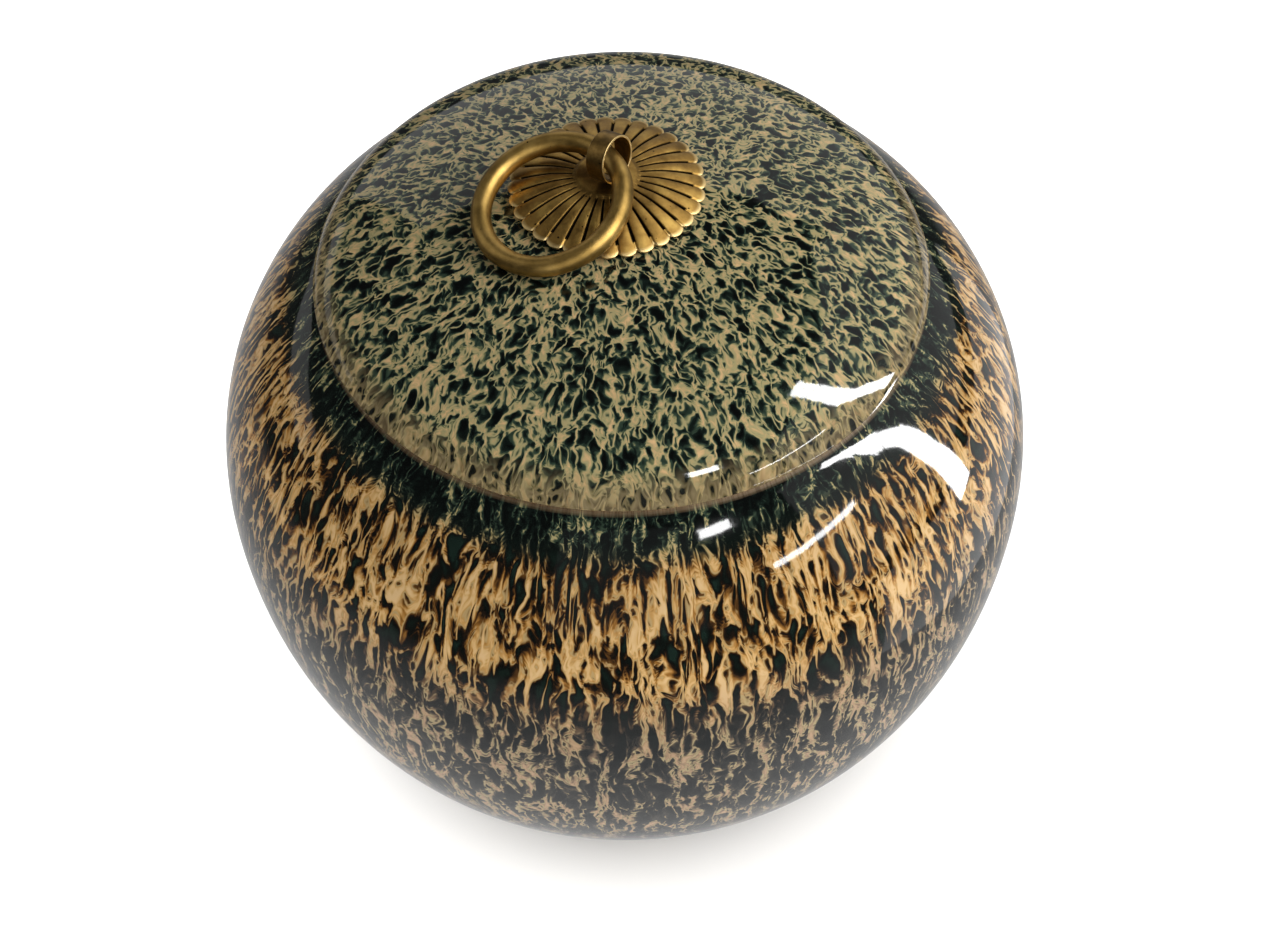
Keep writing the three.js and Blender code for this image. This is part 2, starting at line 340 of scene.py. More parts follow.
def makeLid(d):
    flangeRadius = urnBody["shoulderEdge"] - urnBody["landWidth"] - d["flangeClearance"]
    flangeInside = flangeRadius - d["flangeThickness"]
    innerRadius = flangeInside + d["ceilingSpread"]
    innerRise = d["rise"] - d["wall"]
    powers = (d["shoulderPower"], d["crownPower"])
    ceilingStart = curveHeight(flangeInside, innerRadius, innerRise, *powers)
    ceiling = curvePoints(innerRadius, innerRise, *powers, ceilingStart, innerRise, d["ceilingSteps"])
    lip = d["lip"]
    dome = curvePoints(lidRadius, d["rise"], *powers, 1.4 * lip, d["rise"], d["domeSteps"])
    under = [(reach, lidSeat + z) for reach, z in reversed(ceiling)][1:]
    bottom = lidSeat - d["flangeDepth"]
    outline = [
        (0, lidTop - d["wall"]),
        *under,
        *arcPoints(flangeInside + lip, bottom + lip, lip, 180, 270, cornerSteps),
        *arcPoints(flangeRadius - lip, bottom + lip, lip, 270, 360, cornerSteps),
        (flangeRadius, lidSeat - d["flangeCorner"]),
        (flangeRadius + d["flangeCorner"], lidSeat),
        *arcPoints(lidRadius - lip, lidSeat + lip, lip, 270, 360, d["lipSteps"]),
        *[(reach, lidSeat + z) for reach, z in dome[:-1]],
        (0, lidTop),
    ]
    piece = turnProfile("lidGlazed", outline, d["turnSteps"])
    lipSide = len(outline) - len(dome) - 3
    reach, turn, nearest, lengths = followProfile(piece, outline)
    spread = lidRadius / mm * (reach / lidRadius) ** d["spreadPower"]
    flow = np.stack([spread * np.cos(turn), spread * np.sin(turn), 0 * spread], axis=1)
    slope = np.clip(reach / lidRadius, 0, 1) ** 0.5
    run = np.stack([slope * np.cos(turn), slope * np.sin(turn), 0 * slope], axis=1)
    setAttribute(piece, "glazeFlow", "FLOAT_VECTOR", flow)
    setAttribute(piece, "glazeRun", "FLOAT_VECTOR", run)
    setZones(piece, (lengths[nearest] - lengths[lipSide]) / mm, d["zones"])
    setAttribute(piece, "bareClay", "FLOAT", (nearest < lipSide - 2).astype(float))
    # the hole for the handle's legs
    deselectAll()
    bpy.ops.mesh.primitive_cylinder_add(vertices=32, radius=d["pinHoleRadius"], depth=d["pinHoleDepth"],
                                        location=(handle["x"] + handle["pin"], handle["y"], lidTop))
    cutWith(piece, bpy.context.object)
    return piece


# handle: stamped plate, folded strip and ring, all brass

handle = {
    "x": -3.05 * mm,                 # the middle of the plate
    "y": -1.45 * mm,
    "pin": 2.65 * mm,                # the eye's pin, from the middle of the plate along X
    "hingeX": 0.85 * mm,             # the middle of the wire in the eye, from the middle of the plate
    "hingeY": 0.25 * mm,
    "seatGap": 0.3 * mm,
    "petals": 32,
    "plateRadius": 22.4 * mm,
    "plateRise": 4 * mm,
    "plateDrop": 4.15 * mm,
    "plateCurve": 2.4,
    "bossRadius": 7 * mm,
    "bossStep": 0.3 * mm,
    "bossEdge": 0.12 * mm,           # half the width of the step
    "bossFade": 6 * mm,              # the way out over which the plate rises back
    "sheet": 0.8 * mm,
    "petalColumns": 16,
    "petalRows": 52,
    "rowCrowding": 0.8,              # under 1, so the rows crowd towards the scalloped edge
    "petalCrown": 0.22 * mm,
    "notch": 1.45 * mm,
    "notchShape": 0.98,              # 1 would draw the notches out into slits
    "grooveDepth": 0.55 * mm,
    "grooveWidthInside": 0.55 * mm,
    "grooveWidthOutside": 1.1 * mm,
    "grooveLead": 0.35 * mm,         # from the boss to the start of a groove
    "grooveEnd": 0.885,              # share of the plate's radius
    "crease": 0.25,                  # of the groove's depth, out to the notch
    # where the plate's rim is painted bright, as rubbed wear and a painted highlight
    "brightEdgeFrom": 0.955,             # share of the plate's radius
    "brightEdgeTo": 0.99,
    "plateEase": 0.14 * mm,
    "slotPlay": 0.5 * mm,
    "strip": 0.6 * mm,
    "stripColumns": 6,
    "stripEase": 0.16 * mm,
    "eyeWidth": 4.6 * mm,
    "eyeRadius": 5.55 * mm,
    "eyeThroat": 0.5 * mm,           # radius where the loop turns into the stem
    "eyeSteps": 64,
    "eyeTurn": 20,
    "eyeTilt": 10,                   # degrees that the loop is bent over above the plate
    "legLength": 11 * mm,
    "legDroop": 1.1 * mm,
    "legBend": 0.8 * mm,
    "ringRadius": 16.35 * mm,
    "wireRadius": 2.4 * mm,
    "ringFall": 17.3,
    "wireDrop": 1.15 * mm,
    # share of the wire's radius, waves round the ring, waves round the wire, start
    "wireWaves": ((0.012, 3, 0, 0.7), (0.008, 7, 2, 0), (0.006, 11, -3, 0)),
}
bossTop = lidTop + handle["plateRise"]
eyeTilt = radians(handle["eyeTilt"])
neckHeight = bossTop + handle["seatGap"] + handle["eyeWidth"] / 2 * sin(eyeTilt)
ringHinge = neckHeight + handle["eyeRadius"] * cos(eyeTilt) - handle["wireDrop"]


def plateHeight(reach):
    return bossTop - handle["plateDrop"] * (reach / handle["plateRadius"]) ** handle["plateCurve"]


def makeRosette(d):
    # one petal is a grid laid out by its distance from the middle and its share of the petal's width,
    # and its copies go round the plate
    halfAngle = pi / d["petals"]
    boss = d["bossRadius"]
    grooveStart = boss + d["grooveLead"]
    grooveEnd = d["grooveEnd"] * d["plateRadius"]
    deselectAll()
    bpy.ops.mesh.primitive_grid_add(x_subdivisions=d["petalColumns"], y_subdivisions=d["petalRows"],
                                    size=2, location=(0, 0, 0))
    plate = bpy.context.object
    plate.name = "handleRosetteStamped"
    patinaAndShade = np.zeros(len(plate.data.vertices))
    wornAndHighlit = np.zeros(len(plate.data.vertices))
    for vertex in plate.data.vertices:
        across, along = vertex.co.x, (vertex.co.y + 1) / 2
        share = along ** d["rowCrowding"]
        reach = d["plateRadius"] * share
        side = abs(across)
        halfWidth = reach * sin(halfAngle)
        grooveWidth = d["grooveWidthInside"] + (d["grooveWidthOutside"] - d["grooveWidthInside"]) * along ** 2
        grooveHalf = 0.5 * grooveWidth
        # half the columns are gathered in the groove
        grooveShare = min(0.5, 1.25 * grooveHalf / max(halfWidth, 0.01 * mm))
        fromCrest = side / 0.5 * (1 - grooveShare) if side <= 0.5 else 1 - (1 - side) / 0.5 * grooveShare
        fromGroove = (1 - fromCrest) * halfWidth
        scallop = d["notch"] * (1 - sqrt(max(0, 1 - d["notchShape"] * fromCrest ** 2)))
        placedReach = reach - scallop * smoothStep(0.8, 1, share)
        height = plateHeight(placedReach)
        onBoss = 1 - smoothStep(boss - d["bossEdge"], boss + d["bossEdge"], reach)
        height -= (1 - onBoss) * d["bossStep"] * (1 - smoothStep(boss, boss + d["bossFade"], reach))
        crown = d["petalCrown"] * (1 - fromCrest ** 2) * smoothStep(boss, 0.7 * d["plateRadius"], reach)
        inGroove = 1 - smoothStep(0.15 * grooveHalf, grooveHalf, fromGroove)
        ends = smoothStep(grooveStart, grooveStart + 0.5 * mm, reach)
        ends *= 1 - smoothStep(grooveEnd - 0.25 * mm, grooveEnd + 0.25 * mm, reach)
        crease = d["crease"] * inGroove * smoothStep(grooveEnd, grooveEnd + 0.4 * mm, reach)
        height += crown - d["grooveDepth"] * max(inGroove * ends, crease)
        # the grooves and the boss's step are painted dark: patina in the hollows, and painted shade where less
        # light reaches
        atStep = 1 - abs(reach - boss - 0.15 * mm) / (0.5 * mm)
        grooveDarkening = (1 - smoothStep(0.6 * grooveHalf, 1.2 * grooveHalf, fromGroove)) * ends
        patinaAndShade[vertex.index] = max(grooveDarkening, 0.8 * max(0, atStep))
        # the plate's outer rim is painted bright: rubbed wear and a painted highlight
        wornAndHighlit[vertex.index] = smoothStep(d["brightEdgeFrom"], d["brightEdgeTo"], share)
        turn = (1 if across > 0 else -1) * fromCrest * halfAngle
        vertex.co = (placedReach * cos(turn), placedReach * sin(turn), height)
    setAttribute(plate, "patinaAndShade", "FLOAT", patinaAndShade)
    setAttribute(plate, "wornAndHighlit", "FLOAT", wornAndHighlit)
    bpy.ops.object.mode_set(mode="EDIT")
    bpy.ops.mesh.select_all(action="SELECT")
    for i in range(1, d["petals"]):
        bpy.ops.mesh.duplicate()
        bpy.ops.transform.rotate(value=-2 * halfAngle, orient_axis="Z", center_override=(0, 0, 0))
    closeMesh(1.5 * mergeDistance)
    if plate.data.polygons[0].normal.z < 0:
        plate.data.flip_normals()
    thickenSheet(plate, d["sheet"], -1, d["plateEase"], 2)
    # the slot for the eye's stem
    deselectAll()
    bpy.ops.mesh.primitive_cube_add(size=1, location=(d["pin"], 0, bossTop))
    slot = bpy.context.object
    slot.scale = (d["eyeWidth"] + d["slotPlay"], 2 * d["strip"] + d["slotPlay"], 6 * mm)
    slot.rotation_euler.z = radians(d["eyeTurn"])
    cutWith(plate, slot)
    plate.data.transform(Matrix.Translation((d["x"], d["y"], 0)))
    plate.data.shade_smooth()
    return plate


def makeEye(d):
    # the strip's middle line: one leg, up the stem, round the loop, down the stem, the other leg
    half = d["strip"] / 2
    middle = d["eyeRadius"] - half
    throat, bend = d["eyeThroat"], d["legBend"]
    legTop = lidTop - lid["wall"] - d["seatGap"] - neckHeight - d["eyeRadius"] - half
    meet = np.arccos((half + throat) / (middle + throat))
    meetHeight = -(middle + throat) * sin(meet)
    right = [(d["legLength"], legTop - d["legDroop"]),
             (0.55 * d["legLength"], legTop - 0.45 * d["legDroop"])]
    right += [(half + bend * (1 - sin(a)), legTop + bend * (1 - cos(a)))
              for a in (radians(t) for t in (0, 30, 60, 90))]
    right += [(half, meetHeight - 0.2 * mm)]
    right += [(half + throat - throat * cos(a), meetHeight + throat * sin(a))
              for a in (radians(t) for t in range(0, int(np.degrees(meet)) + 1, 15))]
    sweep = 2 * meet + pi
    turns = [-meet + sweep * i / d["eyeSteps"] for i in range(d["eyeSteps"] + 1)]
    loop = [(middle * cos(a), middle * sin(a)) for a in turns]
    left = [(-y, z) for y, z in reversed(right)]
    path = [(-d["eyeWidth"] / 2, y, z) for y, z in right + loop + left]
    eye = startChain("handleEyeFolded", path)
    step = (d["eyeWidth"] / d["stripColumns"], 0, 0)
    for i in range(d["stripColumns"]):
        bpy.ops.mesh.extrude_edges_move(TRANSFORM_OT_translate={"value": step})
    closeMesh(mergeDistance)
    thickenSheet(eye, d["strip"] - 0.04 * mm, 0, d["stripEase"], 3)
    # the strip's edges are painted bright: rubbed wear, and a painted highlight along them
    edge = [smoothStep(0.47, 0.495, abs(vertex.co.x) / d["eyeWidth"]) for vertex in eye.data.vertices]
    setAttribute(eye, "wornAndHighlit", "FLOAT", edge)
    # above its neck the loop is bent over to one side
    eye.data.transform(Matrix.Translation((0, 0, d["eyeRadius"])))
    for vertex in eye.data.vertices:
        if vertex.co.z > -0.1 * mm:
            vertex.co = Matrix.Rotation(-eyeTilt, 3, "Y") @ vertex.co
    turn = Matrix.Rotation(radians(d["eyeTurn"]), 4, "Z")
    eye.data.transform(Matrix.Translation((d["x"] + d["pin"], d["y"], neckHeight)) @ turn)
    bpy.ops.object.shade_smooth_by_angle(angle=radians(40))
    return eye


def makeRing(d):
    deselectAll()
    bpy.ops.mesh.primitive_torus_add(major_radius=d["ringRadius"], minor_radius=d["wireRadius"],
                                     major_segments=160, minor_segments=40, location=(0, 0, 0))
    ring = bpy.context.object
    ring.name = "handleRingCast"
    # filed by hand after casting: the wire is never quite even, and never thicker than the solid's
    most = sum(wave[0] for wave in d["wireWaves"])
    for vertex in ring.data.vertices:
        turn = atan2(vertex.co.y, vertex.co.x)
        axis = Vector((cos(turn), sin(turn), 0)) * d["ringRadius"]
        out = vertex.co - axis
        around = atan2(out.z, out.dot(axis.normalized()))
        uneven = sum(amount * sin(ringWaves * turn + wireWaves * around + start)
                     for amount, ringWaves, wireWaves, start in d["wireWaves"])
        vertex.co = axis + out * (1 - most + uneven)
    fall = Matrix.Rotation(radians(d["ringFall"]), 4, "X")
    hang = Matrix.Translation((0, -d["ringRadius"], 0))
    hinge = Matrix.Translation((d["x"] + d["hingeX"], d["y"] + d["hingeY"], ringHinge))
    ring.data.transform(hinge @ fall @ hang)
    ring.data.shade_smooth()
    return ring


urnBodyPiece = makeUrnBody(urnBody)
print("urn body turned")
lidPiece = makeLid(lid)
print("lid turned")
rosettePiece = makeRosette(handle)
eyePiece = makeEye(handle)
ringPiece = makeRing(handle)
print("handle made")


# materials

def newMaterial(name):
    material = bpy.data.materials.new(name)
    material.use_nodes = True
    material.node_tree.nodes.clear()
    return material, material.node_tree


def makeDropGlaze(name, look):
    # drop glaze on stoneware, poured and then fired till it ran: a clear glassy skin over tan strands
    # and dark drops, each sharp and pale-lined at its upper edge and fading down its tail
    material, tree = newMaterial(name)
    place, run, width, warmth, greyness, thinEdge, bare, plain = (
        addNode(tree, "Attribute", {"attribute_name": key}).outputs[output]
        for key, output in (("glazeFlow", "Vector"), ("glazeRun", "Vector"), ("strandWidth", "Fac"),
                            ("warmth", "Fac"), ("greyness", "Fac"), ("thinEdge", "Fac"),
                            ("bareClay", "Fac"), ("plainGlaze", "Fac")))
    for size, drift in look["drifts"]:
        swirl = addNode(tree, "TexNoise", {"Scale": 1 / size, "Detail": 0.0}, {"Vector": place})
        centred = addNode(tree, "VectorMath", {"operation": "SUBTRACT", 1: (0.5, 0.5, 0.5)},
                          {0: swirl.outputs["Color"]})
        moved = addNode(tree, "VectorMath", {"operation": "SCALE", "Scale": drift}, {0: centred.outputs[0]})
        place = addNode(tree, "VectorMath", {"operation": "ADD"}, {0: place, 1: moved.outputs[0]}).outputs[0]

    # the distance from the nearest strand, and the same further up the run, where each drop came from
    own = trail = None
    for k in range(look["tailSteps"]):
        back = addNode(tree, "VectorMath", {"operation": "SCALE", "Scale": -k * look["tailStep"]}, {0: run})
        above = addNode(tree, "VectorMath", {"operation": "ADD"}, {0: place, 1: back.outputs[0]})
        nearest = None
        for shift in (0, look["secondStrands"]):
            moved = addNode(tree, "VectorMath",
                            {"operation": "ADD", 1: (look["seed"] + shift, shift, -shift)},
                            {0: above.outputs[0]})
            level = addNode(tree, "TexNoise",
                            {"Scale": 1 / look["dropSize"], "Detail": 1.0, "Roughness": 0.4},
                            {"Vector": moved.outputs[0]})
            offset = addNode(tree, "Math", {"operation": "SUBTRACT", 1: 0.5}, {0: level.outputs[0]})
            far = addNode(tree, "Math", {"operation": "ABSOLUTE"}, {0: offset.outputs[0]}).outputs[0]
            if nearest is None:
                nearest = far
            else:
                nearest = addNode(tree, "Math", {"operation": "MINIMUM"}, {0: nearest, 1: far}).outputs[0]
        if k == 0:
            own = trail = nearest
        else:
            faded = addNode(tree, "Math", {"operation": "SUBTRACT", 1: k * look["tailFade"]}, {0: nearest})
            trail = addNode(tree, "Math", {"operation": "MAXIMUM"}, {0: trail, 1: faded.outputs[0]}).outputs[0]
    lag = addNode(tree, "Math", {"operation": "SUBTRACT"}, {0: trail, 1: own}).outputs[0]

    # patches with wider strands, and fine streaks down the tails
    patch = addNode(tree, "TexNoise", {"Scale": 1 / look["patchSize"], "Detail": 2.0}, {"Vector": place})
    vary = addNode(tree, "Math", {"operation": "MULTIPLY_ADD", 1: -look["patchAmount"],
                   2: look["patchAmount"] / 2 + look["dark"]}, {0: patch.outputs[0]})
    thin = addNode(tree, "VectorMath", {"operation": "MULTIPLY", 1: (1, 1, look["streakSquash"])},
                   {0: place})
    streak = addNode(tree, "TexNoise", {"Scale": 1 / look["streakSize"], "Detail": 1.0},
                     {"Vector": thin.outputs[0]})
    total = addNode(tree, "Math", {"operation": "ADD"}, {0: trail, 1: vary.outputs[0]})
    total = addNode(tree, "Math", {"operation": "SUBTRACT"}, {0: total.outputs[0], 1: width})
    total = addNode(tree, "Math", {"operation": "MULTIPLY_ADD", 1: -look["tailPales"]},
                    {0: lag, 2: total.outputs[0]})
    total = addNode(tree, "Math", {"operation": "MULTIPLY_ADD", 1: look["streak"]},
                    {0: streak.outputs[0], 2: total.outputs[0]})
    total = addNode(tree, "Math", {"operation": "MULTIPLY", 1: look["contrast"]}, {0: total.outputs[0]})
    shade = total.outputs[0]
    warm = addNode(tree, "ValToRGB", {"stops": look["warmStops"]}, {0: shade})
    cool = addNode(tree, "ValToRGB", {"stops": look["coolStops"]}, {0: shade})
    colour = addNode(tree, "Mix", {"data_type": "RGBA"}, {0: warmth, 6: cool.outputs[0], 7: warm.outputs[0]})

    # lower down the glaze is thinner and greyer, with pinkish strands
    grey = addNode(tree, "ValToRGB", {"stops": look["greyStops"]}, {0: shade})
    colour = addNode(tree, "Mix", {"data_type": "RGBA"},
                     {0: greyness, 6: colour.outputs[2], 7: grey.outputs[0]})

    # the pale line where the glaze drew back round the upper edge of a drop
    band = addNode(tree, "ValToRGB", {"stops": look["lineStops"]}, {0: shade})
    fresh = addNode(tree, "MapRange", {"From Max": look["lineFade"], "To Min": 1.0, "To Max": 0.0}, {0: lag})
    line = addNode(tree, "Math", {"operation": "MULTIPLY"}, {0: band.outputs[0], 1: fresh.outputs[0]})
    colour = addNode(tree, "Mix", {"data_type": "RGBA", 7: toLinear(look["line"])},
                     {0: line.outputs[0], 6: colour.outputs[2]})

    # near the lid's edge the glaze stayed thin, and holds small round dark cells in a greyish brown
    cells = addNode(tree, "TexVoronoi", {"Scale": 1 / look["cellSize"], "Randomness": 0.9}, {"Vector": place})
    cellColour = addNode(tree, "ValToRGB", {"stops": look["cellStops"]}, {0: cells.outputs[0]})
    colour = addNode(tree, "Mix", {"data_type": "RGBA"},
                     {0: thinEdge, 6: colour.outputs[2], 7: cellColour.outputs[0]})

    # plain brown glaze inside, and bare buff clay where it was wiped
    inside = addNode(tree, "Mix", {"data_type": "RGBA", 7: toLinear(look["inside"])},
                     {0: plain, 6: colour.outputs[2]})
    grog = addNode(tree, "TexNoise", {"Scale": look["grogScale"], "Detail": 4.0}, {"Vector": place})
    clay = addNode(tree, "ValToRGB", {"stops": look["clayStops"]}, {0: grog.outputs[0]})
    finish = addNode(tree, "Mix", {"data_type": "RGBA"}, {0: bare, 6: inside.outputs[2], 7: clay.outputs[0]})
    rough = addNode(tree, "MapRange", {"To Min": look["roughness"], "To Max": look["clayRoughness"]},
                    {0: bare})
    # the fired skin is never quite level
    pool = addNode(tree, "TexNoise", {"Scale": 1 / look["skinWave"], "Detail": 0.0}, {"Vector": place})
    relief = addNode(tree, "Bump", {"Strength": 1.0, "Distance": look["skinDepth"]},
                     {"Height": pool.outputs[0]})
    shader = addNode(tree, "BsdfPrincipled", {"IOR": 1.46},
                     {"Base Color": finish.outputs[2], "Roughness": rough.outputs[0],
                      "Normal": relief.outputs[0]})
    addNode(tree, "OutputMaterial", None, {"Surface": shader.outputs[0]})
    return material


def makeAgedBrass(name, look):
    # stamped or drawn brass, darkened in an antiquing bath and rubbed back by hand: satin gold where fingers
    # reach, brown in the hollows, with pinholes; the bright edges also carry a painted highlight, and the dark
    # hollows and pinholes painted shade
    material, tree = newMaterial(name)
    darkPatinaShadeColour = toLinear(look["darkPatinaAndShade"])
    place = addNode(tree, "TexCoord").outputs["Object"]
    place = addNode(tree, "VectorMath", {"operation": "SCALE", "Scale": 1 / mm}, {0: place}).outputs[0]
    patinaAndShade, wornAndHighlit = (addNode(tree, "Attribute", {"attribute_name": key}).outputs["Fac"]
                    for key in ("patinaAndShade", "wornAndHighlit"))
    cloud = addNode(tree, "TexNoise", {"Scale": 1 / look["cloudSize"], "Detail": 4.0, "Roughness": 0.6},
                    {"Vector": place})
    base = addNode(tree, "ValToRGB", {"stops": look["stops"]}, {0: cloud.outputs[0]})
    # edges painted bright: rubbed wear and a painted highlight
    bright = addNode(tree, "Mix", {"data_type": "RGBA", 7: toLinear(look["wornAndHighlit"])},
                     {0: wornAndHighlit, 6: base.outputs[0]})
    # grooves and the boss's step painted dark: patina and painted shade
    darkPatinaAndShade = addNode(tree, "Mix", {"data_type": "RGBA", 7: darkPatinaShadeColour}, {0: patinaAndShade, 6: bright.outputs[2]})
    # pinholes, painted near-black: their dirt and the painted shade inside them; one cell in two or so has
    # one, each of its own size
    pit = addNode(tree, "TexVoronoi", {"Scale": 1 / look["pitSpacing"]}, {"Vector": place})
    rare = addNode(tree, "SeparateColor", None, {0: pit.outputs["Color"]})
    size = addNode(tree, "MapRange", {"From Min": 0.55, "From Max": 1.0, "To Max": look["pitRadius"]},
                   {0: rare.outputs[0]})
    inPit = addNode(tree, "Math", {"operation": "SUBTRACT"}, {0: size.outputs[0], 1: pit.outputs[0]})
    pitMask = addNode(tree, "MapRange", {"From Min": -0.02, "From Max": 0.04}, {0: inPit.outputs[0]})
    colour = addNode(tree, "Mix", {"data_type": "RGBA", 7: darkPatinaShadeColour},
                     {0: pitMask.outputs[0], 6: darkPatinaAndShade.outputs[2]})
    grain = addNode(tree, "TexNoise", {"Scale": 1 / look["grainSize"], "Detail": 3.0}, {"Vector": place})
    rough = addNode(tree, "MapRange", {"From Min": 0.3, "From Max": 0.7, "To Min": look["roughness"][0],
                    "To Max": look["roughness"][1]}, {0: grain.outputs[0]})
    dull = addNode(tree, "Math", {"operation": "MULTIPLY_ADD", 1: 0.3}, {0: patinaAndShade, 2: rough.outputs[0]})
    sunk = addNode(tree, "Math", {"operation": "MULTIPLY_ADD", 1: -1.2},
                   {0: pitMask.outputs[0], 2: grain.outputs[0]})
    relief = addNode(tree, "Bump", {"Strength": 1.0, "Distance": look["grainDepth"]},
                     {"Height": sunk.outputs[0]})
    shader = addNode(tree, "BsdfPrincipled", {"Metallic": 1.0},
                     {"Base Color": colour.outputs[2], "Roughness": dull.outputs[0],
                      "Normal": relief.outputs[0]})
    addNode(tree, "OutputMaterial", None, {"Surface": shader.outputs[0]})
    return material


# sizes and moves are in mm, and the ramps go from the middle of a strand to the middle of a drop
bodyGlazeLook = {
    "seed": 21.0,
    "secondStrands": 37.3,           # where the second set of strands is read, away from the first
    "drifts": ((10.0, 5.0), (3.0, 2.4), (0.9, 0.5)),      # across a swirl, and how far it moves
    "dropSize": 3.5,
    "tailSteps": 6,
    "tailStep": 1.1,
    "tailFade": 0.014,
    "tailPales": 0.2,
    "patchSize": 5.0,
    "patchAmount": 0.16,
    "dark": 0.024,
    "streakSize": 1.0,
    "streakSquash": 0.22,
    "streak": 0.06,
    "contrast": 5.0,
    "warmStops": ((0.0, "#d8b684"), (0.12, "#cfa970"), (0.2, "#bb8f52"), (0.28, "#95662f"), (0.38, "#583a1b"),
                  (0.48, "#21170f"), (0.62, "#0b0c0a"), (1.0, "#17251f")),
    "coolStops": ((0.0, "#e6c28c"), (0.1, "#dab684"), (0.19, "#bfa777"), (0.28, "#7c7e56"), (0.39, "#38483a"),
                  (0.54, "#15201b"), (0.78, "#070a09")),
    "greyStops": ((0.0, "#ac8f72"), (0.12, "#a4886b"), (0.2, "#8a735c"), (0.3, "#5f5245"), (0.42, "#37342f"),
                  (0.54, "#222322"), (0.8, "#17191a")),
    "lineStops": ((0.2, 0.0), (0.26, 0.45), (0.3, 0.45), (0.37, 0.0)),
    "lineFade": 0.03,
    "line": "#cfbf8c",
    "cellSize": 1.9,
    "cellStops": ((0.0, "#0d0f0c"), (0.3, "#201e16"), (0.42, "#8a7a54"), (0.55, "#a08e68"), (0.8, "#6a5a40")),
    "inside": "#3a2a1a",
    "grogScale": 1.4,                # lumps per mm
    "clayStops": ((0.35, "#8d7253"), (0.5, "#b49670"), (0.7, "#c8ad88")),
    "clayRoughness": 0.85,
    "roughness": 0.05,
    "skinWave": 9,
    "skinDepth": 0.05 * mm,
}
lidGlazeLook = {
    **bodyGlazeLook,
    "seed": 77.0,
    "drifts": ((7.0, 3.2), (2.0, 1.8), (0.7, 0.45)),
    "dropSize": 3.3,
    "tailSteps": 5,
    "tailStep": 0.42,
    "tailFade": 0.020,
    "patchSize": 2.4,
    "patchAmount": 0.11,
    "dark": 0.038,
    "streakSquash": 1.0,
    "streak": 0.0,
    "contrast": 4.5,
}
# spacings in mm; the grain of the real bath is finer, and is drawn coarser so that it shows
plateBrassLook = {
    "cloudSize": 5.0,
    "stops": ((0.3, "#70562a"), (0.5, "#96753c"), (0.7, "#b89650")),
    # patina in the hollows together with painted shade, also used inside the pinholes
    "darkPatinaAndShade": "#120e08",
    # worn brass together with a painted highlight on the edges
    "wornAndHighlit": "#d8bc82",
    "pitSpacing": 1.6,
    "pitRadius": 0.16,               # share of the spacing
    "roughness": (0.34, 0.48),
    "grainSize": 0.5,
    "grainDepth": 0.012 * mm,
}
stripBrassLook = {
    **plateBrassLook,
    "cloudSize": 3.0,
    "stops": ((0.3, "#5c4826"), (0.5, "#7c6234"), (0.7, "#a08048")),
}
ringBrassLook = {
    **plateBrassLook,
    "cloudSize": 7.0,
    "pitSpacing": 2.2,
    "roughness": (0.36, 0.48),
    "stops": ((0.3, "#7a6232"), (0.5, "#9c7e44"), (0.7, "#bb9a58")),
}

bodyGlaze = makeDropGlaze("firedDropGlazeBody", bodyGlazeLook)
lidGlaze = makeDropGlaze("firedDropGlazeLid", lidGlazeLook)
plateBrass = makeAgedBrass("stampedBrassAntiqued", plateBrassLook)
stripBrass = makeAgedBrass("stripBrassAntiqued", stripBrassLook)
ringBrass = makeAgedBrass("castBrassAntiqued", ringBrassLook)
print("materials made")

for piece, material, node, body, slot in (
    (urnBodyPiece, bodyGlaze, "urn_body", "urn", "body_glaze"),
    (lidPiece, lidGlaze, "lid", "urn", "lid_glaze"),
    (rosettePiece, plateBrass, "handle_rosette", "urn", "stamped_brass"),
    (eyePiece, stripBrass, "handle_eye", "urn", "strip_brass"),
    (ringPiece, ringBrass, "handle_ring", "ring", "ring_brass"),
):
    piece.data.materials.clear()
    piece.data.materials.append(material)
    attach(piece, body)
    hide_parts(node)


# stage, light and camera

studio = {
    "imageWidth": 1280,
    "imageHeight": 943,
    "focalPixels": 1700,
    "sensorWidth": 36,
    "viewTurn": 55,                  # degrees, where the camera stands round the urn
    "viewPitch": 53.94,              # degrees that it looks down
    "roll": -0.66,
    "distance": 454.6 * mm,
    "aimX": 625.37,                  # where the middle of the belly falls in the image
    "aimY": 432.76,
    "roomLight": 0.31,
    "roomMirrored": 0.04,
    "keySize": 1.3,
    "keyDistance": 1.5,
    "keyPower": 17,
    "keyTurn": 72,
    "keyRise": 42,
    "floorSize": 8,
    "floorPower": 160,
    "floorWashSize": 3.6,
    "floorWashHeight": 1.8,
    "tableDisks": 7,
    "tableInner": 0.2,
    "tableOuter": 0.6,
    "tableMirrored": 0.5,
    "cardCentre": 0.14,              # height that the cards are aimed from
}


